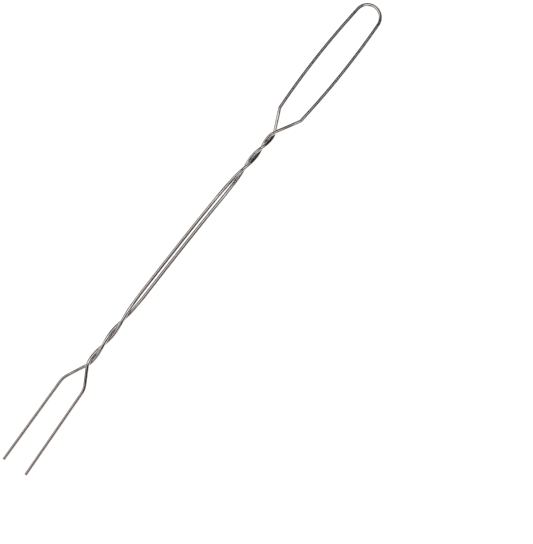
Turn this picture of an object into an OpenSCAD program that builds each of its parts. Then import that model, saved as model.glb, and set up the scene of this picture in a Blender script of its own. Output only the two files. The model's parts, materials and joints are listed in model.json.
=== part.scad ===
// Marshmallow roasting fork: one plated steel wire bent double.
// The fold in the wire is the round end of the handle loop. The two legs close in to a
// neck, are twisted round each other, run side by side as the shaft, are twisted again the
// other way, and open out of a second neck as the two tines.
//
// The fork lies flat. +Y runs from the tines to the handle, +X is its right side seen from
// above with the handle ahead, and the origin is on the surface that it lies on, under the
// middle of its outline.
//
// Each solid is one formed stretch of the wire. Neighbours meet on one flat cross-section.
// The strand that passes over the other at both necks comes from the right of the loop.

/* [Wire] */
// Diameter of the wire
wire_d = 3.2; // [2:0.1:4]

/* [Overall] */
// Length from the tine tips to the outer end of the handle
overall_l = 508; // [420:1:900]
// Angle at which each leg opens out of its neck
neck_angle = 27; // [22:1:34]

/* [Handle loop] */
// Length from the crossing at the neck to the outer end of the loop
handle_l = 141; // [110:1:200]
// Width between the wire centres at the loop's two shoulders
shoulder_w = 21.3; // [18:0.1:30]
// Radius of the loop's round end, at the wire centre
crown_r = 11.2; // [9:0.1:16]
// Radius of the outward bow in each long side of the loop
rail_bow_r = 720; // [500:10:3000]
// Radius of the bend at each shoulder, at the wire centre
shoulder_bend_r = 3; // [2:0.5:8]

/* [Fork head] */
// Length from the crossing at the neck to the tips, along the head's own middle line
fork_l = 109; // [80:1:160]
// Width between the wire centres at the roots of the two tines
tine_root_w = 21.1; // [16:0.1:34]
// Angle at which each tine splays outwards
tine_splay = 0.7; // [0:0.05:4]
// Radius of the bend at each tine root, at the wire centre
tine_bend_r = 20; // [4:1:30]
// Width of the broken edge round each cut tip
tip_chamfer = 0.3; // [0.1:0.05:0.6]

/* [Twists and shaft] */
// Turns in each twist; an odd number of half turns brings the strands out side by side
twist_turns = 1.5; // [0.5, 1.5, 2.5]
// Length of the twist behind the handle
handle_twist_l = 60; // [50:1:90]
// Length of the twist behind the tines
tine_twist_l = 66; // [50:1:90]
// How much the handle twist slackens towards the shaft, where 1 is an even twist
handle_twist_slack = 1.4; // [1.1:0.05:1.8]
// How much the tine twist slackens towards the shaft, where 1 is an even twist
tine_twist_slack = 1.15; // [1.1:0.05:1.8]
// Distance from a neck within which the legs wind in from their open angle
neck_wind_l = 2; // [1:0.1:4]
// Gap between the two strands along the shaft
strand_gap = 1; // [0.4:0.1:3]
// Length over which the strands spread from touching in a twist to that gap
spread_l = 24; // [12:1:40]

/* [Set left by the bending] */
// Angle by which the fork head leans to the right
head_lean = 3.8; // [0:0.1:6]
// Sideways set of the shaft to the left, at its deepest
shaft_set = 1.85; // [0:0.05:4]
// Place of the deepest set, where 1 is halfway and more is nearer the handle
shaft_set_skew = 1.4; // [1:0.1:2]
// Sideways place of the crossing at the handle neck
handle_neck_x = -0.6; // [-1.5:0.1:1.5]
// Sideways place of the crossing at the tine neck
tine_neck_x = 0.5; // [-1.5:0.1:1.5]
// Sideways place of the middle of the loop's round end
crown_x = -1; // [-2:0.1:2]

/* [Hidden] */

LEFT = -1;
RIGHT = 1;
OVER = RIGHT;
UNDER = LEFT;

// Clearance between the two strands where they lie against each other
strand_clear = 0.04;
wire_r = wire_d / 2;
// Distance of each strand's centre from the twist's middle line
twist_r = (wire_d + strand_clear) / 2;
// The twists are two wires thick and rest on the surface, so the wire's middle plane is this high
mid_z = twist_r + wire_r;

// How finely the swept wire is drawn
wire_sides = 16;
bend_steps = 5;
leg_steps = 6;
twist_steps = 40;
shaft_steps = 14;
// Rings are packed towards the neck, where the strands turn fastest
ring_packing = 1.5;
// Short straight end by which a swept wire meets a tine or a rail squarely
stub_l = 1;
round_fn = 96;

// ---- Places along the fork ----

function leg_root(n, half_w) = [half_w, n[1] + (half_w - n[0]) / tan(neck_angle)];

// The neck crossing in the fork head's own frame: [sideways, towards the tips]
tine_neck = tine_neck_x * [cos(head_lean), sin(head_lean)];
tine_root_left = leg_root([-tine_neck[0], tine_neck[1]], tine_root_w / 2);
left_tip_x = tine_root_left[0] + (fork_l - tine_root_left[1]) * tan(tine_splay);
fork_reach = fork_l * cos(head_lean) + left_tip_x * sin(head_lean);

handle_end_y = overall_l / 2;
handle_neck_y = handle_end_y - handle_l;
tine_neck_y = fork_reach - overall_l / 2;
neck_span = handle_neck_y - tine_neck_y;
shaft_start_y = tine_neck_y + tine_twist_l;
shaft_end_y = handle_neck_y - handle_twist_l;

// ---- Handle loop ----
// Each side is worked out as if it were the right one, with X pointing outwards.

function crown_middle(side) = [side * crown_x, handle_end_y - wire_r - crown_r];
function shoulder(side) = leg_root([side * handle_neck_x, handle_neck_y], shoulder_w / 2);

// Centre of the bow that starts at the shoulder and runs smoothly into the round end
function bow_middle(side) =
    let (
        k = crown_middle(side),
        reach = norm(shoulder(side) - k),
        e = (shoulder(side) - k) / reach,
        to_crown = rail_bow_r - crown_r,
        a = (reach * reach + to_crown * to_crown - rail_bow_r * rail_bow_r) / (2 * reach),
        h = sqrt(to_crown * to_crown - a * a)
    )
    k + a * e + h * [e[1], -e[0]];

function angle_of(v) = atan2(v[1], v[0]);
function bow_start(side) = angle_of(shoulder(side) - bow_middle(side));
function bow_end(side) = angle_of(crown_middle(side) - bow_middle(side));

// ---- Legs ----
// A leg runs from its neck at neck_angle to its root, bends there to the angle of the tine
// or rail, and ends in a short stub along it. Each point is [outwards, ahead, share of the
// lift that carries one strand over the other at the neck].

function bend_tangent(bend_r, exit_angle) = bend_r * tan((neck_angle - exit_angle) / 2);
function heading(angle) = [sin(angle), cos(angle)];
function lift(share) = (1 + cos(180 * share)) / 2;
function leg_exit(root, bend_r, exit_angle) =
    root + (bend_tangent(bend_r, exit_angle) + stub_l) * heading(exit_angle);

function leg_points(neck, root, bend_r, exit_angle) =
    let (
        bend_start = root - bend_tangent(bend_r, exit_angle) * heading(neck_angle),
        inwards = [-cos(neck_angle), sin(neck_angle)],
        turn = neck_angle - exit_angle,
        end = leg_exit(root, bend_r, exit_angle)
    )
    concat(
        [for (i = [0 : leg_steps - 1])
            let (share = i / leg_steps, p = neck + share * (bend_start - neck))
            [p[0], p[1], lift(share)]],
        [for (i = [0 : bend_steps])
            let (
                a = turn * i / bend_steps,
                p = bend_start + bend_r * (sin(a) * heading(neck_angle) + (1 - cos(a)) * inwards)
            )
            [p[0], p[1], 0]],
        [[end[0], end[1], 0]]
    );

// From the fork head's frame and the loop's frame to the whole fork's
function head_point(side, p) = [
    side * p[0] * cos(head_lean) + p[1] * sin(head_lean),
    tine_neck_y - p[1] * cos(head_lean) + side * p[0] * sin(head_lean)
];
function lifted(side, xy, share) = [xy[0], xy[1], side * share * twist_r];

function tine_root(side) = leg_root([side * tine_neck[0], tine_neck[1]], tine_root_w / 2);
function tine_leg_path(side) =
    let (neck = [side * tine_neck[0], tine_neck[1]])
    [for (p = leg_points(neck, tine_root(side), tine_bend_r, tine_splay))
        lifted(side, head_point(side, p), p[2])];
function handle_leg_path(side) =
    let (neck = [side * handle_neck_x, handle_neck_y])
    [for (p = leg_points(neck, shoulder(side), shoulder_bend_r, -bow_start(side)))
        lifted(side, [side * p[0], p[1]], p[2])];

// ---- Twists and shaft ----

twist_sweep = 360 * twist_turns - 90;
// Turning per millimetre at which a leg's open angle runs smoothly into the twist
neck_rate = tan(neck_angle) / twist_r * 180 / PI;

// Angle of a strand round the middle line, at distance d into a twist of length l
function winding(d, l, slack) =
    let (
        even_rate = twist_sweep * slack / l,
        early = (neck_rate - even_rate) / (1 / neck_wind_l - slack / l),
        late = twist_sweep - early * (1 - exp(-l / neck_wind_l))
    )
    90 + early * (1 - exp(-d / neck_wind_l)) + late * (1 - pow(max(0, 1 - d / l), slack));

function strand_angle(y) =
    y < shaft_start_y ? winding(y - tine_neck_y, tine_twist_l, tine_twist_slack)
    : y > shaft_end_y ? winding(handle_neck_y - y, handle_twist_l, handle_twist_slack)
    : 360 * twist_turns;

function eased(share) = let (t = max(0, min(1, share))) t * t * (3 - 2 * t);
// How far y lies past the start of the spread at either end of the shaft
function past_spread(y) =
    min(y - shaft_start_y, shaft_end_y - y) + spread_l / 2;
function strand_r(y) =
    twist_r + (strand_gap - strand_clear) / 2 * eased(past_spread(y) / spread_l);

function middle_x(y) =
    let (t = max(0, min(1, (y - tine_neck_y) / neck_span)))
    tine_neck_x + t * (handle_neck_x - tine_neck_x)
    - shaft_set * sin(180 * pow(t, shaft_set_skew));

function strand_point(strand, y) =
    let (a = strand_angle(y), r = strand_r(y))
    [middle_x(y) + strand * r * cos(a), y, strand * r * sin(a)];

function packed(i) = pow(i / twist_steps, ring_packing);
function tine_twist_path(strand) =
    [for (i = [1 : twist_steps])
        strand_point(strand, tine_neck_y + tine_twist_l * packed(i))];
function shaft_path(strand) =
    [for (i = [1 : shaft_steps])
        strand_point(strand, shaft_start_y + (shaft_end_y - shaft_start_y) * i / shaft_steps)];
function handle_twist_path(strand) =
    [for (i = [twist_steps - 1 : -1 : 1])
        strand_point(strand, handle_neck_y - handle_twist_l * packed(i))];

function turned_round(path) = [for (i = [len(path) - 1 : -1 : 0]) path[i]];

// One whole strand, from the root of its tine to the shoulder of the handle
function strand_path(strand) = concat(
    turned_round(tine_leg_path(strand)),
    tine_twist_path(strand),
    shaft_path(strand),
    handle_twist_path(strand),
    handle_leg_path(strand)
);
strand_paths = [strand_path(UNDER), strand_path(OVER)];
function path_of(strand) = strand_paths[strand == OVER ? 1 : 0];

// Where each stretch starts and ends along a strand's path
leg_rings = leg_steps + bend_steps + 2;
tine_neck_ring = leg_rings - 1;
shaft_start_ring = tine_neck_ring + twist_steps;
shaft_end_ring = shaft_start_ring + shaft_steps;
handle_neck_ring = shaft_end_ring + twist_steps;
last_ring = handle_neck_ring + leg_rings - 1;

// ---- Swept wire ----

function unit(v) = v / norm(v);
function ring(path, i) =
    let (
        before = path[max(0, i - 1)],
        after = path[min(len(path) - 1, i + 1)],
        along = unit(after - before),
        across = unit(cross(along, [0, 0, 1])),
        up = cross(across, along)
    )
    [for (j = [0 : wire_sides - 1])
        let (a = 360 * j / wire_sides)
        path[i] + wire_r * (cos(a) * across + sin(a) * up)];

module wire_along(strand, first, last) {
    path = path_of(strand);
    n = wire_sides;
    steps = last - first;
    points = [for (i = [first : last]) each ring(path, i)];
    start_cap = [[for (j = [n - 1 : -1 : 0]) j]];
    end_cap = [[for (j = [0 : n - 1]) steps * n + j]];
    walls = [for (i = [0 : steps - 1], j = [0 : n - 1])
        [i * n + j, i * n + (j + 1) % n, (i + 1) * n + (j + 1) % n, (i + 1) * n + j]];
    polyhedron(points = points, faces = concat(start_cap, walls, end_cap), convexity = 6);
}

// ---- Placing ----
// The sizes above are about the fork's own middle line and middle plane. The whole fork is
// then moved to put the origin under the middle of its outline.

tip_lean = head_lean + tine_splay;
right_tip = head_point(RIGHT, [tine_root(RIGHT)[0] + (fork_l - tine_root(RIGHT)[1]) * tan(tine_splay), fork_l]);
right_edge = right_tip[0] + wire_r * cos(tip_lean);
left_edge = -(bow_middle(LEFT)[0] + rail_bow_r + wire_r);
outline_mid_x = (right_edge + left_edge) / 2;

module placed() {
    translate([-outline_mid_x, 0, mid_z]) children();
}

// ---- Sub-parts ----

// Round end of the loop, the fold in the wire
module handle_crown() {
    k = crown_middle(RIGHT);
    color("silver")
    placed()
    translate([k[0], k[1], 0])
    rotate([0, 0, bow_end(RIGHT)])
    rotate_extrude(angle = 180 - bow_end(LEFT) - bow_end(RIGHT), $fn = round_fn)
    translate([crown_r, 0])
    circle(d = wire_d, $fn = round_fn);
}

// Long side of the loop, bowed a little outwards
module handle_rail(side) {
    c = bow_middle(side);
    trim = bend_tangent(shoulder_bend_r, -bow_start(side)) + stub_l;
    first = bow_start(side) + trim / rail_bow_r * 180 / PI;
    color("silver")
    placed()
    mirror([side == LEFT ? 1 : 0, 0, 0])
    translate([c[0], c[1], 0])
    rotate([0, 0, first])
    rotate_extrude(angle = bow_end(side) - first, $fn = 12 * round_fn)
    translate([rail_bow_r, 0])
    circle(d = wire_d, $fn = round_fn);
}

// Shoulder bend of the loop and the leg that closes in to the handle neck
module handle_leg(side) {
    color("silver")
    placed()
    wire_along(side, handle_neck_ring, last_ring);
}

module handle_twist(strand) {
    color("silver")
    placed()
    wire_along(strand, shaft_end_ring, handle_neck_ring);
}

module shaft_strand(strand) {
    color("silver")
    placed()
    wire_along(strand, shaft_start_ring, shaft_end_ring);
}

module tine_twist(strand) {
    color("silver")
    placed()
    wire_along(strand, tine_neck_ring, shaft_start_ring);
}

// Leg that opens out of the tine neck and the bend at the tine's root
module tine_leg(side) {
    color("silver")
    placed()
    wire_along(side, 0, tine_neck_ring);
}

// Straight tine with a cut tip whose edge is broken
module tine(side) {
    start = leg_exit(tine_root(side), tine_bend_r, tine_splay);
    length = (fork_l - start[1]) / cos(tine_splay) - tip_chamfer;
    at = head_point(side, start);
    color("silver")
    placed()
    translate([at[0], at[1], 0])
    rotate([0, 0, head_lean + side * tine_splay])
    rotate([90, 0, 0])
    union() {
        cylinder(h = length, r = wire_r, $fn = round_fn);
        translate([0, 0, length])
        cylinder(h = tip_chamfer, r1 = wire_r, r2 = wire_r - tip_chamfer, $fn = round_fn);
    }
}

// An odd number of half turns carries the strand that passes over to the left of the shaft.
handle_crown();
handle_rail(LEFT);  // handle_rail_left
handle_rail(RIGHT);  // handle_rail_right
handle_leg(LEFT);  // handle_leg_left
handle_leg(RIGHT);  // handle_leg_right
handle_twist(OVER);  // handle_twist_over
handle_twist(UNDER);  // handle_twist_under
shaft_strand(OVER);  // shaft_strand_left
shaft_strand(UNDER);  // shaft_strand_right
tine_twist(OVER);  // tine_twist_over
tine_twist(UNDER);  // tine_twist_under
tine_leg(LEFT);  // tine_leg_left
tine_leg(RIGHT);  // tine_leg_right
tine(LEFT);  // tine_left
tine(RIGHT);  // tine_right
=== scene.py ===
# %% [markdown]
# # Marshmallow roasting fork
# The real fork is one steel wire, bent double and chrome plated. The fold in the wire is the
# round end of the handle loop. The two legs close in to a neck, are wound round each other,
# run side by side as the shaft, are wound again the other way, and open out of a second neck
# as the two tines. The solid model already says where each stretch of the wire lies, so this
# script loads it as a fixed frame and draws the same wire round it, smooth and plated.

# %% Load the frame
import json
import math
import bpy
import bmesh
import numpy as np
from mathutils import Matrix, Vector


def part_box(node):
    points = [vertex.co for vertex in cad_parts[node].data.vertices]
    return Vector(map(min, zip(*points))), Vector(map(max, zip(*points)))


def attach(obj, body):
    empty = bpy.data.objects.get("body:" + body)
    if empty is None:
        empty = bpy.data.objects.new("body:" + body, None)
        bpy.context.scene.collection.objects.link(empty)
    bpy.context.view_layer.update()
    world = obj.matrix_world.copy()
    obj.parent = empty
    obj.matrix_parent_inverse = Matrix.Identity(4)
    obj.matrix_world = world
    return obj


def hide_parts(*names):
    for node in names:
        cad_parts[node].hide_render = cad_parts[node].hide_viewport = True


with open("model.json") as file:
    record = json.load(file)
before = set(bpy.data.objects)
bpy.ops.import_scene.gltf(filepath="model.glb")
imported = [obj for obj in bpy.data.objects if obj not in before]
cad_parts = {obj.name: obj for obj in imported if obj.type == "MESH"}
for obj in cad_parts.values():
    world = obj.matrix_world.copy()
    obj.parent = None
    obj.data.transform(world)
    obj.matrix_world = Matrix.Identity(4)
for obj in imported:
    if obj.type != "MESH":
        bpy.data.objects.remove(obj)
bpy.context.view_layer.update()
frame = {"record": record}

# %% [markdown]
# ## The sizes that the bends were set to
# A wire form is fully said by its wire diameter and by where, how far and how tightly it is
# bent. The diameter and the height of the wire's middle plane are read from the frame, from
# the mount on a tine. The settings of the bends are the ones that the solid model was drawn
# with. Lengths are in millimetres and angles in degrees until the wire is drawn, because
# that is how a bender is set.

# %% Sizes read from the frame
MM = 0.001
mounts = {mount["name"]: mount for mount in frame["record"]["mounts"]}
wire_r = mounts["tine_right_shank"]["dims"]["r_mm"]
wire_d = 2 * wire_r
mid_z = mounts["tine_right_shank"]["pos_m"][2] / MM
# The twists are two wires thick and rest on the surface, so this is what the height leaves
twist_r = mid_z - wire_r
overall_l = 2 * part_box("handle_crown")[1].y / MM
print("wire", round(wire_d, 3), "mm thick, middle plane", round(mid_z, 3), "mm up")

# %% Settings of the bends
neck_angle = 27
handle_l, shoulder_w, crown_r, crown_x = 141, 21.3, 11.2, -1
rail_bow_r, shoulder_bend_r = 720, 3
fork_l, tine_root_w, tine_splay, tine_bend_r = 109, 21.1, 0.7, 20
tip_edge = 0.3
twist_turns, neck_wind_l = 1.5, 2
handle_twist_l, handle_twist_slack = 60, 1.4
tine_twist_l, tine_twist_slack = 66, 1.15
strand_gap, spread_l = 1, 24
head_lean = 3.8
shaft_set, shaft_set_skew = 1.85, 1.4
handle_neck_x, tine_neck_x = -0.6, 0.5
stub_l = 1
LEFT, RIGHT = -1, 1


def sin(angle):
    return math.sin(math.radians(angle))


def cos(angle):
    return math.cos(math.radians(angle))


def tan(angle):
    return math.tan(math.radians(angle))


# %% [markdown]
# ## The handle loop
# Each side of the loop is worked out as if it were the right one, with X pointing outwards.
# A long side is a very flat arc, bowed outwards by the spring of the wire, and it runs
# smoothly into the round end, so the two circles touch from inside. Solving for that one
# point of contact is better than drawing a curve by eye: the plating shows any change of
# direction as a break in its highlight.

# %% Circles of the loop
def leg_root(neck, half_w):
    return np.array([half_w, neck[1] + (half_w - neck[0]) / tan(neck_angle)])


handle_end_y = overall_l / 2
handle_neck_y = handle_end_y - handle_l


def crown_middle(side):
    return np.array([side * crown_x, handle_end_y - wire_r - crown_r])


def shoulder(side):
    return leg_root((side * handle_neck_x, handle_neck_y), shoulder_w / 2)


def bow_middle(side):
    """Centre of the bow that starts at the shoulder and runs smoothly into the round end."""
    round_end = crown_middle(side)
    reach = np.linalg.norm(shoulder(side) - round_end)
    towards = (shoulder(side) - round_end) / reach
    sideways = np.array([towards[1], -towards[0]])
    to_crown = rail_bow_r - crown_r
    ahead = (reach ** 2 + to_crown ** 2 - rail_bow_r ** 2) / (2 * reach)
    aside = math.sqrt(to_crown ** 2 - ahead ** 2)
    return round_end + ahead * towards + aside * sideways


def angle_of(v):
    return math.degrees(math.atan2(v[1], v[0]))


def bow_start(side):
    return angle_of(shoulder(side) - bow_middle(side))


def bow_end(side):
    return angle_of(crown_middle(side) - bow_middle(side))


print("the long sides leave the shoulders at", [round(-bow_start(s), 2) for s in (LEFT, RIGHT)])

# %% [markdown]
# ## The legs
# A leg opens out of its neck at a steady angle and is bent at its root to the angle of the
# tine or of the loop's long side. At the neck one wire lies on the other, and along the
# straight part of the leg it comes down to the middle plane. A half cosine does that with a
# level start and a level end, which is what a springy wire does between two supports.

# %% Points along a leg
leg_steps, bend_steps = 24, 12


def heading(angle):
    return np.array([sin(angle), cos(angle)])


def bend_tangent(bend_r, exit_angle):
    return bend_r * tan((neck_angle - exit_angle) / 2)


def leg_exit(root, bend_r, exit_angle):
    return root + (bend_tangent(bend_r, exit_angle) + stub_l) * heading(exit_angle)


def leg_points(neck, root, bend_r, exit_angle):
    """Points [outwards, ahead, share of the lift at the neck], from the neck to the exit."""
    turn = neck_angle - exit_angle
    bend_start = root - bend_tangent(bend_r, exit_angle) * heading(neck_angle)
    inwards = np.array([-cos(neck_angle), sin(neck_angle)])
    points = []
    for i in range(leg_steps):
        share = i / leg_steps
        p = neck + share * (bend_start - neck)
        points.append((*p, (1 + cos(180 * share)) / 2))
    for i in range(bend_steps + 1):
        a = turn * i / bend_steps
        p = bend_start + bend_r * (sin(a) * heading(neck_angle) + (1 - cos(a)) * inwards)
        points.append((*p, 0))
    points.append((*leg_exit(root, bend_r, exit_angle), 0))
    return points


# %% [markdown]
# ## The fork head
# The head leans a little to one side, because the wire springs back unevenly when the twist
# is let go. It is worked out straight and then turned about the tine neck.

# %% Fork head in its own frame, and its place on the fork
tine_neck = tine_neck_x * heading(head_lean)[::-1]


def tine_root(side):
    return leg_root((side * tine_neck[0], tine_neck[1]), tine_root_w / 2)


def tip_across(side):
    return tine_root(side)[0] + (fork_l - tine_root(side)[1]) * tan(tine_splay)


fork_reach = fork_l * cos(head_lean) + tip_across(LEFT) * sin(head_lean)
tine_neck_y = fork_reach - overall_l / 2


def head_point(side, p):
    return (side * p[0] * cos(head_lean) + p[1] * sin(head_lean),
            tine_neck_y - p[1] * cos(head_lean) + side * p[0] * sin(head_lean))


# %% [markdown]
# ## The twists and the shaft
# A hand-turned twist isn't even: it is tight where the legs are held and slackens towards
# the shaft. The angle of a strand round the middle line is therefore an early part, which
# dies away within a few millimetres of the neck, and a late part that eases to a stop where
# the shaft begins. The turning rate at the neck is the one that carries on the leg's open
# angle, so there is no kink in the wire.

# %% Angle of a strand along the fork
twist_sweep = 360 * twist_turns - 90
neck_rate = math.degrees(tan(neck_angle) / twist_r)
shaft_start_y = tine_neck_y + tine_twist_l
shaft_end_y = handle_neck_y - handle_twist_l


def winding(d, length, slack):
    even_rate = twist_sweep * slack / length
    early = (neck_rate - even_rate) / (1 / neck_wind_l - slack / length)
    late = twist_sweep - early * (1 - math.exp(-length / neck_wind_l))
    return (90 + early * (1 - math.exp(-d / neck_wind_l))
            + late * (1 - max(0, 1 - d / length) ** slack))


def strand_angle(y):
    if y < shaft_start_y:
        return winding(y - tine_neck_y, tine_twist_l, tine_twist_slack)
    if y > shaft_end_y:
        return winding(handle_neck_y - y, handle_twist_l, handle_twist_slack)
    return 360 * twist_turns


# %% Place of a strand along the fork
strand_clear = 2 * twist_r - wire_d


def eased(share):
    t = max(0, min(1, share))
    return t * t * (3 - 2 * t)


def strand_r(y):
    past = min(y - shaft_start_y, shaft_end_y - y) + spread_l / 2
    return twist_r + (strand_gap - strand_clear) / 2 * eased(past / spread_l)


def middle_x(y):
    t = max(0, min(1, (y - tine_neck_y) / (handle_neck_y - tine_neck_y)))
    set_left = shaft_set * sin(180 * t ** shaft_set_skew)
    return tine_neck_x + t * (handle_neck_x - tine_neck_x) - set_left


def strand_point(strand, y):
    a, r = strand_angle(y), strand_r(y)
    return (middle_x(y) + strand * r * cos(a), y, strand * r * sin(a))


# %% [markdown]
# ## One path for the whole wire
# Each piece could be swept along its own short path, but then the two ends that meet would
# be worked out twice and the plating would show a line at every joint. Instead the whole
# wire gets one path, from the tip of the right tine round the loop to the tip of the left
# one, and each piece takes a run of its cross-sections. Neighbours share the one where they
# meet.

# %% Stretches of one side, from the tip to the round end
# How far apart the cross-sections stand: closest where the wire turns most
tine_step, rail_step, winding_step, crown_step = 2, 1.5, 0.75, 0.5
tip_rings = 6


def spaced(first, last, step):
    return np.linspace(first, last, max(2, round(abs(last - first) / step) + 1))


def side_stretches(side, over):
    tine_neck_in = np.array([side * tine_neck[0], tine_neck[1]])
    leg = [(*head_point(side, p), side * p[2] * twist_r) for p in
           leg_points(tine_neck_in, tine_root(side), tine_bend_r, tine_splay)]
    tip = (*head_point(side, (tip_across(side), fork_l)), 0)
    start = np.array(leg[-1])
    length = np.linalg.norm(np.array(tip) - start)
    edge = tip_edge * (1 - np.cos(np.linspace(0, math.pi / 2, tip_rings)))
    tine = [tuple(np.array(tip) + (start - np.array(tip)) * d / length)
            for d in (*edge, *spaced(tip_edge, length, tine_step)[1:])]
    handle_neck_in = np.array([side * handle_neck_x, handle_neck_y])
    shoulder_leg = [(side * p[0], p[1], side * p[2] * twist_r) for p in
                    leg_points(handle_neck_in, shoulder(side), shoulder_bend_r, -bow_start(side))]
    bow_at = bow_middle(side)
    trim = bend_tangent(shoulder_bend_r, -bow_start(side)) + stub_l
    first = bow_start(side) + math.degrees(trim / rail_bow_r)
    rail = [(side * (bow_at[0] + rail_bow_r * cos(a)), bow_at[1] + rail_bow_r * sin(a), 0)
            for a in spaced(first, bow_end(side), math.degrees(rail_step / rail_bow_r))]
    runs = {"tine_twist": (tine_neck_y, shaft_start_y), "shaft": (shaft_start_y, shaft_end_y),
            "handle_twist": (shaft_end_y, handle_neck_y)}
    wound = {name: [strand_point(side, y) for y in spaced(*ends, winding_step)]
             for name, ends in runs.items()}
    name = "right" if side == RIGHT else "left"
    lies = "left" if side == RIGHT else "right"
    return [("tine_" + name, tine), ("tine_leg_" + name, leg[::-1]),
            ("tine_twist_" + over, wound["tine_twist"]),
            ("shaft_strand_" + lies, wound["shaft"]),
            ("handle_twist_" + over, wound["handle_twist"]),
            ("handle_leg_" + name, shoulder_leg), ("handle_rail_" + name, rail)]


# %% The whole wire in order
crown_at = crown_middle(RIGHT)
crown = [(crown_at[0] + crown_r * cos(a), crown_at[1] + crown_r * sin(a), 0)
         for a in spaced(bow_end(RIGHT), 180 - bow_end(LEFT), math.degrees(crown_step / crown_r))]
from_left = [(name, points[::-1]) for name, points in side_stretches(LEFT, "under")[::-1]]
stretches = side_stretches(RIGHT, "over") + [("handle_crown", crown)] + from_left

middle, runs = [], {}
for name, points in stretches:
    first = max(0, len(middle) - 1)
    middle += points if not middle else points[1:]
    runs[name] = (first, len(middle) - 1)
right_edge = head_point(RIGHT, (tip_across(RIGHT), fork_l))[0] + wire_r * cos(head_lean + tine_splay)
left_edge = -(bow_middle(LEFT)[0] + rail_bow_r + wire_r)
middle = np.array(middle) + (-(right_edge + left_edge) / 2, 0, mid_z)
steps = np.linalg.norm(np.diff(middle, axis=0), axis=1)
along = np.concatenate([[0], np.cumsum(steps)])
print("wire", round(along[-1]), "mm long,", len(middle), "cross-sections")

# %% [markdown]
# ## Cross-sections
# A sweep needs a pair of directions across the wire at every cross-section. The wire never
# stands upright, so one is level and the other completes the square. The direction along the
# wire is the mean of the two steps that meet there, which rounds off the last trace of a
# corner. At each sharp shoulder the wire was pulled round a small pin: there it is a little
# flattened in the plane of the bend and a little thicker across it, as drawn wire always is.
# How hard the wire was worked is noted too, for the finish: at the shoulders, where the
# tines begin, where the twists were gripped, and on the cut tips.

# %% Directions along and across
step_way = np.diff(middle, axis=0) / steps[:, None]
along_way = np.concatenate([step_way[:1], step_way[:-1] + step_way[1:], step_way[-1:]])
along_way /= np.linalg.norm(along_way, axis=1)[:, None]
across_way = np.cross(along_way, (0, 0, 1))
across_way /= np.linalg.norm(across_way, axis=1)[:, None]
up_way = np.cross(across_way, along_way)

# %% How hard the wire was worked
# How far the mark of each kind of working reaches along the wire, in millimetres
pin_reach, shoulder_reach, root_reach, grip_reach = 1.6, 4, 8, 7
grip_share = 0.8


def nearness(centre, reach):
    """1 at a place along the wire, fading to 0 over reach, in millimetres."""
    return np.exp(-((along - centre) / reach) ** 2)


def along_at(name, share=0.5):
    first, last = runs[name]
    return along[first] + share * (along[last] - along[first])


pinned = np.zeros(len(middle))
worked = np.zeros(len(middle))
for side in ("left", "right"):
    at_rail = 0 if side == "right" else 1
    inwards = 2 * at_rail - 1
    shoulder_at = along_at("handle_rail_" + side, at_rail)
    bend_middle = shoulder_at + inwards * (stub_l + bend_tangent(shoulder_bend_r, 0))
    pinned += nearness(bend_middle, pin_reach)
    worked += nearness(bend_middle, shoulder_reach)
    worked += nearness(along_at("tine_" + side, 1 - at_rail), root_reach)
for strand in ("over", "under"):
    forwards = strand == "over"
    tine_neck_at = along_at("tine_twist_" + strand, 0 if forwards else 1)
    handle_neck_at = along_at("handle_twist_" + strand, 1 if forwards else 0)
    worked += grip_share * nearness(tine_neck_at, grip_reach)
    worked += grip_share * nearness(handle_neck_at, grip_reach)
    worked += nearness(along[0 if forwards else -1], tip_edge)
worked = np.minimum(worked, 1)
print("cross-sections that are mostly worked:", int((worked > 0.5).sum()))

# %% Rings of points round the wire
wire_sides = 32
flatten, thicken = 0.035, 0.02
turn = np.arange(wire_sides) * 2 * math.pi / wire_sides
wide = wire_r * (1 - flatten * pinned)[:, None] * np.cos(turn)
high = wire_r * (1 + thicken * pinned)[:, None] * np.sin(turn)

# The broken edge round each cut tip is a quarter round
for end in (0, -1):
    drop = tip_edge - np.minimum(np.abs(along - along[end]), tip_edge)
    shrink = 1 - (tip_edge - np.sqrt(np.maximum(tip_edge ** 2 - drop ** 2, 0))) / wire_r
    wide *= shrink[:, None]
    high *= shrink[:, None]

rings = (middle[:, None] + wide[..., None] * across_way[:, None]
         + high[..., None] * up_way[:, None]) * MM
print("rings", rings.shape)

# %% [markdown]
# ## Normals that pass over the joints
# The neighbours share a ring of points, but each would still work out its own normals there
# from its own faces only. The normals are therefore found once, on the whole wire, and
# given to every corner of every piece, so a highlight runs on from one piece to the next.

# %% Normals of the whole wire
ring_along = np.gradient(rings, axis=0)
ring_around = np.roll(rings, -1, axis=1) - np.roll(rings, 1, axis=1)
ring_normal = np.cross(ring_along, ring_around)
ring_normal /= np.linalg.norm(ring_normal, axis=2)[..., None]

# Place on the wire as if it were pulled straight: along it, and across it two ways
straight = np.stack([np.broadcast_to(along[:, None], wide.shape), wide, high], axis=2) * MM

# %% [markdown]
# ## Drawing a stretch
# A curve with a round bevel would be quicker to write, but it can't flatten at a bend or
# carry its own normals. So each stretch is a mesh: rings joined by rows of four-sided faces,
# closed by a flat face at both ends, as the solid model's stretches are. It also stores where
# every point lies on the straightened wire and how hard it was worked there, for the finish.

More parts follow.
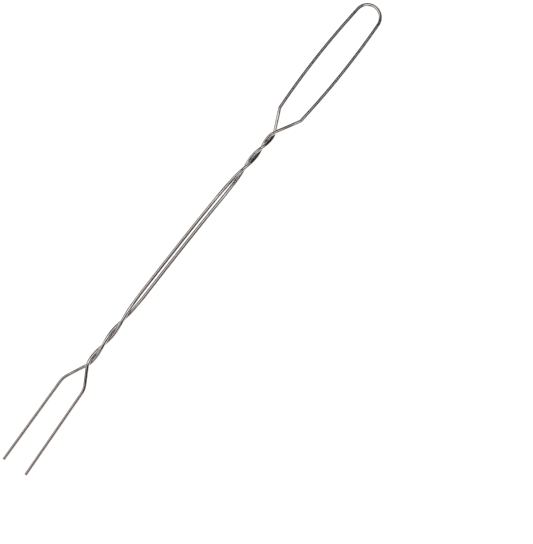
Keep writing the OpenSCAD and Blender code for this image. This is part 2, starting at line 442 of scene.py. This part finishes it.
# %% A stretch of wire as a mesh
def stretch_mesh(name, first, last):
    rows = last - first + 1
    shape = bmesh.new()
    grid = [[shape.verts.new(rings[first + i, j]) for j in range(wire_sides)]
            for i in range(rows)]
    for i in range(rows - 1):
        for j in range(wire_sides):
            n = (j + 1) % wire_sides
            face = shape.faces.new((grid[i][j], grid[i + 1][j], grid[i + 1][n], grid[i][n]))
            face.smooth = True
    shape.faces.new(grid[0])
    shape.faces.new(grid[-1][::-1])
    mesh = bpy.data.meshes.new(name)
    shape.to_mesh(mesh)
    shape.free()

    walls = ring_normal[first:last + 1].reshape(-1, 3)
    ends = {len(mesh.polygons) - 2: -along_way[first], len(mesh.polygons) - 1: along_way[last]}
    corners = [ends[face.index] if face.index in ends else walls[mesh.loops[c].vertex_index]
               for face in mesh.polygons for c in face.loop_indices]
    mesh.normals_split_custom_set(corners)

    place = mesh.attributes.new("wire_place", "FLOAT_VECTOR", "POINT")
    place.data.foreach_set("vector", straight[first:last + 1].astype(np.float32).ravel())
    work = mesh.attributes.new("worked", "FLOAT", "POINT")
    work.data.foreach_set("value", np.repeat(worked[first:last + 1], wire_sides).astype(np.float32))
    return mesh


# %% Draw the whole wire, one piece for each stretch of the solid model
pieces = {}
for node_name, (first, last) in runs.items():
    piece = bpy.data.objects.new("wire_" + node_name, stretch_mesh("wire_" + node_name, first, last))
    bpy.context.scene.collection.objects.link(piece)
    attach(piece, "root")
    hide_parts(node_name)
    pieces[node_name] = piece
    low, high_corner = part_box(node_name)
    own = rings[first:last + 1].reshape(-1, 3)
    off = max(np.abs(own.min(0) - low).max(), np.abs(own.max(0) - high_corner).max())
    print(f"{node_name:20s} {last - first + 1:4d} rings, {off / MM:.3f} mm from the solid model")

# %% [markdown]
# ## Shader maths
# A finish is easier to read as sums than as a list of nodes and links. Flow is what comes out
# of a node, and the usual signs on it add a Math node. Finish holds the material. Its node
# method adds any other node from its kind, its settings and what goes into it, and the rest
# of its methods are short ways to the nodes that are used most.

# %% Flow and Finish
class Flow:
    """What comes out of a node, for use in sums."""

    def __init__(self, finish, socket):
        self.finish = finish
        self.socket = socket

    def maths(self, operation, *terms):
        return self.finish.node("ShaderNodeMath", {"operation": operation}, dict(enumerate(terms)))

    def __add__(self, other):
        return self.maths("ADD", self, other)

    def __sub__(self, other):
        return self.maths("SUBTRACT", self, other)

    def __rsub__(self, other):
        return self.maths("SUBTRACT", other, self)

    def __mul__(self, other):
        return self.maths("MULTIPLY", self, other)

    def __abs__(self):
        return self.maths("ABSOLUTE", self)

    __radd__ = __add__
    __rmul__ = __mul__


def pick(sockets, key):
    """A socket by its number, or by the name that it has in the node's own list."""
    if isinstance(key, int):
        return sockets[key]
    return next(s for s in sockets if key in (s.identifier, s.name) and s.enabled)


class Finish:
    """A material and the nodes in it."""

    def __init__(self, name):
        self.material = bpy.data.materials.new(name)
        self.material.use_nodes = True
        self.tree = self.material.node_tree
        self.tree.nodes.clear()

    def node(self, kind, settings=None, inputs=None, output=0):
        made = self.tree.nodes.new(kind)
        for name, value in (settings or {}).items():
            if name == "stops":
                stops = made.color_ramp.elements
                while len(stops) < len(value):
                    stops.new(1)
                for stop, (at, shade) in zip(stops, value):
                    stop.position, stop.color = at, (shade, shade, shade, 1)
            else:
                setattr(made, name, value)
        for key, value in (inputs or {}).items():
            socket = pick(made.inputs, key)
            if isinstance(value, Flow):
                self.tree.links.new(value.socket, socket)
            else:
                socket.default_value = value
        return Flow(self, pick(made.outputs, output)) if len(made.outputs) else None

    def noise(self, vector, cells, detail, rough):
        """Noise whose grain is stretched: cells is how many lie in a millimetre, each way."""
        scaled = self.node("ShaderNodeVectorMath", {"operation": "MULTIPLY"}, {0: vector, 1: cells})
        return self.node("ShaderNodeTexNoise", None,
                         {"Vector": scaled, "Scale": 1, "Detail": detail, "Roughness": rough}, "Fac")

    def ramp(self, field, low, high):
        """0 below low and 1 above high."""
        return self.node("ShaderNodeValToRGB", {"stops": [(low, 0), (high, 1)]}, {"Fac": field})

    def blend(self, mask, clean, marked):
        """One colour passing into another where the mask is 1."""
        return self.node("ShaderNodeMix", {"data_type": "RGBA"},
                         {"Factor_Float": mask, "A_Color": clean, "B_Color": marked}, "Result_Color")

    def surface(self, shader):
        self.node("ShaderNodeOutputMaterial", None, {"Surface": shader})


# %% [markdown]
# ## Bright plated wire
# Drawn steel wire keeps faint lines along its length from the die, and a thin chrome plating
# follows them. Over that lie a little handling haze, some fine rubs that run askew, a few
# pits, and, where the wire was pulled round a pin or gripped for twisting, a soft pebbled
# skin with a slightly yellower plating. All of it hangs on the straightened wire, so the
# lines follow every bend and pass over the joints. An image could hold this too, but a wire
# this long and thin would need a very large one.

# %% The plated finish
# The weights in the sums below say how much each kind of mark roughens or lifts the plating
clean_plate, marked_plate = (0.66, 0.65, 0.644, 1), (0.58, 0.558, 0.535, 1)
bare_rough = 0.05
relief = 0.012 * MM
rub_turn = (0.2, 0.5, 0.9)
rub_narrowness = 9


def plated_wire():
    f = Finish("plated_wire")
    place = f.node("ShaderNodeAttribute", {"attribute_name": "wire_place"}, None, "Vector")
    in_mm = f.node("ShaderNodeVectorMath", {"operation": "SCALE"}, {0: place, "Scale": 1 / MM})
    work = f.node("ShaderNodeAttribute", {"attribute_name": "worked"}, None, "Fac")

    # Long grain for the die's lines, long soft clouds for haze, even grain for worked skin
    die_lines = f.noise(in_mm, (0.02, 4, 4), 4, 0.65)
    patches = f.ramp(f.noise(in_mm, (0.06, 0.35, 0.35), 4, 0.6), 0.42, 0.68)
    pebble = f.noise(in_mm, (2.2, 2.2, 2.2), 3, 0.55)

    # A rub is a thin line where turned noise passes its middle, and only shows in the haze
    askew = f.node("ShaderNodeVectorRotate", {"rotation_type": "EULER_XYZ"},
                   {"Vector": in_mm, "Rotation": rub_turn})
    rub_field = f.noise(askew, (0.25, 2.6, 1.1), 2, 0.5)
    rub_lines = 1 - abs(rub_field * 2 - 1) * rub_narrowness
    rubs = f.node("ShaderNodeClamp", None, {"Value": rub_lines}) * patches
    pits = f.ramp(f.noise(in_mm, (2.4, 2.4, 2.4), 1, 0.4), 0.72, 0.78)

    roughness = (bare_rough + 0.04 * die_lines + 0.09 * patches + 0.22 * work * pebble
                 + 0.12 * rubs + 0.3 * pits)
    skin = 0.6 * die_lines + 0.9 * work * pebble - 0.5 * rubs - 1.2 * pits
    normal = f.node("ShaderNodeBump", None,
                    {"Strength": 0.5, "Distance": relief, "Height": skin})
    colour = f.blend(0.55 * patches + 0.45 * work, clean_plate, marked_plate)
    f.surface(f.node("ShaderNodeBsdfPrincipled", None,
                     {"Base Color": colour, "Metallic": 1, "Roughness": roughness,
                      "Normal": normal}))
    return f.material


chrome = plated_wire()
for piece in pieces.values():
    piece.data.materials.append(chrome)
print("nodes in the finish:", len(chrome.node_tree.nodes))

# %% [markdown]
# ## The light table
# Wire goods are photographed on a lit white surface, so that there is no shadow to hide the
# thin wire in, and its bright edges melt into the ground. The floor is therefore a pale sheet
# that gives a light of its own, as bright far off as it is under the fork.

# %% Floor
pale = (0.6, 0.6, 0.6, 1)
floor_rough, floor_glow = 0.7, 0.94
floor_size = 14


def light_table():
    f = Finish("light_table")
    f.surface(f.node("ShaderNodeBsdfPrincipled", None,
                     {"Base Color": pale, "Roughness": floor_rough,
                      "Emission Color": (1, 1, 1, 1), "Emission Strength": floor_glow}))
    return f.material


shape = bmesh.new()
bmesh.ops.create_grid(shape, x_segments=4, y_segments=4, size=floor_size / 2)
floor_mesh = bpy.data.meshes.new("floor")
shape.to_mesh(floor_mesh)
shape.free()
floor = bpy.data.objects.new("floor", floor_mesh)
floor.data.materials.append(light_table())
bpy.context.scene.collection.objects.link(floor)
print("floor", floor_size, "m wide")

# %% [markdown]
# ## Soft boxes
# What makes bright wire readable is what it mirrors from above: a dim room gives the dark
# lines, and soft boxes give the light ones. Seen from above, a straight wire mirrors one
# narrow band of the room, straight across itself, so each part of the fork has a band of its
# own and a box can be hung level with the part that it is for. The boxes over the handle and
# its neck are narrow strips, which lay a lighter core along the wire. Those over the shaft
# and the tines hang to the left, so each strand is light on its left and dark right of its
# middle. A low one on the right adds a thin line along the right edge of the tines, and the
# last hangs beyond the tips, for the parts that slope or run across. These four are a little
# warmer than the two at the handle.

# %% Soft boxes and the room
def soft_box(name, at, towards, size, radiance, tint=(1, 1, 1)):
    """A soft box of (level width, other side), facing a point, as bright as radiance says."""
    light = bpy.data.lights.new(name, "AREA")
    light.color = tint
    light.shape = "RECTANGLE"
    light.size, light.size_y = size
    light.energy = radiance * math.pi * size[0] * size[1]
    box = bpy.data.objects.new(name, light)
    box.location = at
    way = Vector(towards) - Vector(at)
    box.rotation_euler = way.to_track_quat("-Z", "Y").to_euler()
    box.visible_camera = False
    bpy.context.scene.collection.objects.link(box)


warm = (1, 0.92, 0.89)
dim = (0.03, 0.026, 0.025, 1)
soft_box("box_over_handle", (0, 0.34, 1), (0, 0.34, 0), (0.2, 0.22), 1.7)
soft_box("box_over_neck", (0.12, 0.14, 1), (0.12, 0.14, 0), (0.5, 0.18), 1.9)
soft_box("box_over_shaft", (-0.43, -0.075, 1), (-0.43, -0.075, 0), (0.92, 0.29), 1.15, warm)
soft_box("box_left", (-0.8, -0.61, 1), (-0.8, -0.61, 0), (0.9, 0.78), 1.15, warm)
soft_box("box_right", (1, -0.62, 0.42), (0, -0.62, 0), (0.9, 0.7), 0.88, warm)
soft_box("box_behind_tines", (0, -1.9, 1.2), (0, -0.2, 0), (1.8, 1.7), 0.6, warm)

world = bpy.data.worlds.new("room")
world.use_nodes = True
bpy.context.scene.world = world
room = world.node_tree.nodes["Background"]
room.inputs["Color"].default_value = dim
print("soft boxes:", len(bpy.data.lights))

# %% [markdown]
# ## Camera
# The fork is seen from straight above with a long lens, lying aslant, tines down to the left.
# The lens is long enough that the two ends of the fork are seen almost equally steeply.

# %% Camera
view_height = 0.4708
lens, sensor = 85, 36
aim = Vector((0.0674, 0.0152, mid_z * MM))
picture_up = Vector((-0.6303, 0.7763, 0))
camera_data = bpy.data.cameras.new("camera")
camera_data.lens, camera_data.sensor_width = lens, sensor
distance = view_height * lens / sensor
camera = bpy.data.objects.new("camera", camera_data)
camera.location = aim + Vector((0, 0, distance))
camera.rotation_euler = (0, 0, math.atan2(-picture_up.x, picture_up.y))
bpy.context.scene.collection.objects.link(camera)
bpy.context.scene.camera = camera
bpy.context.scene.view_settings.view_transform = "Standard"
print("camera", round(distance, 3), "m above the fork")
